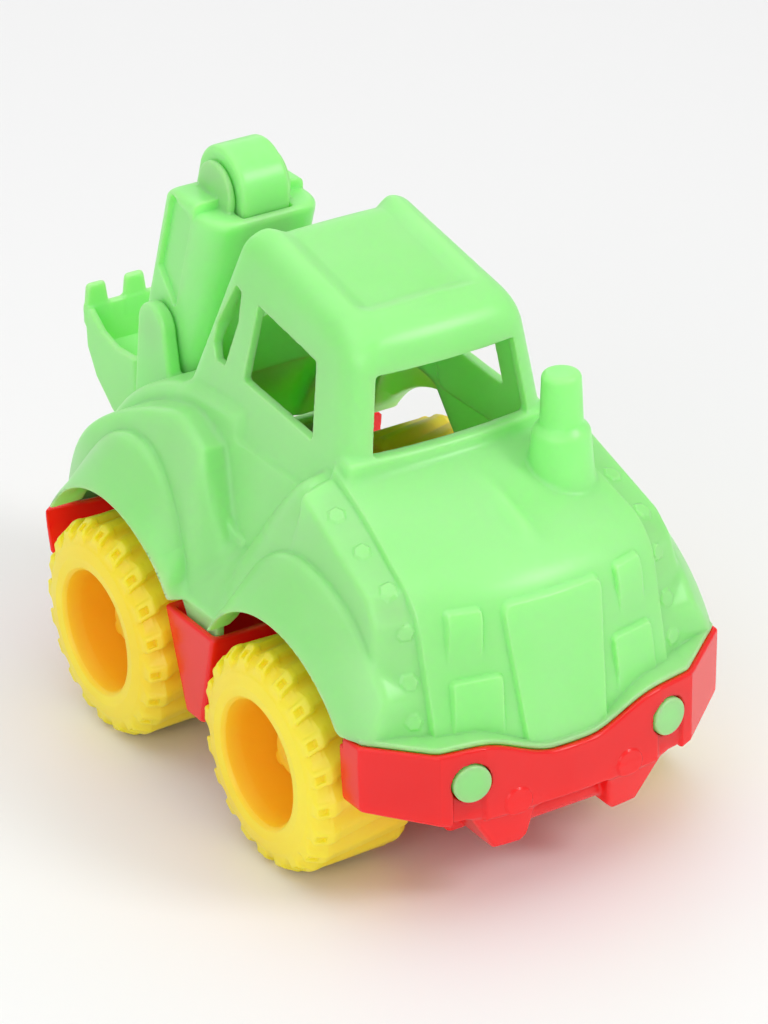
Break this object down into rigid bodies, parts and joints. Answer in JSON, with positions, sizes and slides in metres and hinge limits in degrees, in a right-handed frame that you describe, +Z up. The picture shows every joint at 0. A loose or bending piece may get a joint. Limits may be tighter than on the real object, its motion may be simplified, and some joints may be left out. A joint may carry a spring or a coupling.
{
  "type": "toy tractor with digger arm",
  "caption": "Small moulded toy farm tractor: open cab, hood, fenders and bumper on chunky wheels, with a folding boom, dipper and toothed bucket behind the cab.",
  "frame": {"origin": "on the ground under the centre of the whole part's box, midway between nose bumper and bucket", "axes": "+Z up, -Y towards the nose, +Y towards the digger arm, +X the tractor's own left side"},
  "size_m": [0.1096, 0.1972, 0.1358],
  "materials": {
    "green_plastic": "soft gloss, slightly translucent moulded polypropylene",
    "arm_plastic": "soft gloss moulded polypropylene",
    "lamp_plastic": "soft gloss moulded plug",
    "red_plastic": "glossy moulded polypropylene",
    "yellow_plastic": "soft, slightly translucent polyethylene",
    "axle_steel": "drawn wire rod"
  },
  "bodies": {
    "tractor": {"body_shell": "green_plastic", "chassis": "red_plastic", "headlamp_left": "lamp_plastic", "headlamp_right": "lamp_plastic"},
    "front_wheelset": {"front_axle": "axle_steel", "front_wheel_left": "yellow_plastic", "front_wheel_right": "yellow_plastic"},
    "rear_wheelset": {"rear_axle": "axle_steel", "rear_wheel_left": "yellow_plastic", "rear_wheel_right": "yellow_plastic"},
    "boom_arm": {"boom": "arm_plastic"},
    "dipper_arm": {"dipper": "arm_plastic"},
    "bucket_scoop": {"bucket": "arm_plastic"}
  },
  "joints": [
    {"name": "front_axle_spin", "type": "hinge", "parent": "tractor", "child": "front_wheelset", "pos_m": [0, -0.05, 0.027], "axis": [1, 0, 0], "continuous": true},
    {"name": "rear_axle_spin", "type": "hinge", "parent": "tractor", "child": "rear_wheelset", "pos_m": [0, 0.0254, 0.027], "axis": [1, 0, 0], "continuous": true},
    {"name": "boom_hinge", "type": "hinge", "parent": "tractor", "child": "boom_arm", "pos_m": [0, 0.054, 0.087], "axis": [1, 0, 0], "range_deg": [-2, 20]},
    {"name": "dipper_hinge", "type": "hinge", "parent": "boom_arm", "child": "dipper_arm", "pos_m": [0, 0.0403, 0.1248], "axis": [1, 0, 0], "range_deg": [0, 95]},
    {"name": "bucket_hinge", "type": "hinge", "parent": "dipper_arm", "child": "bucket_scoop", "pos_m": [0, 0.067, 0.068], "axis": [1, 0, 0], "range_deg": [-18, 28]}
  ]
}
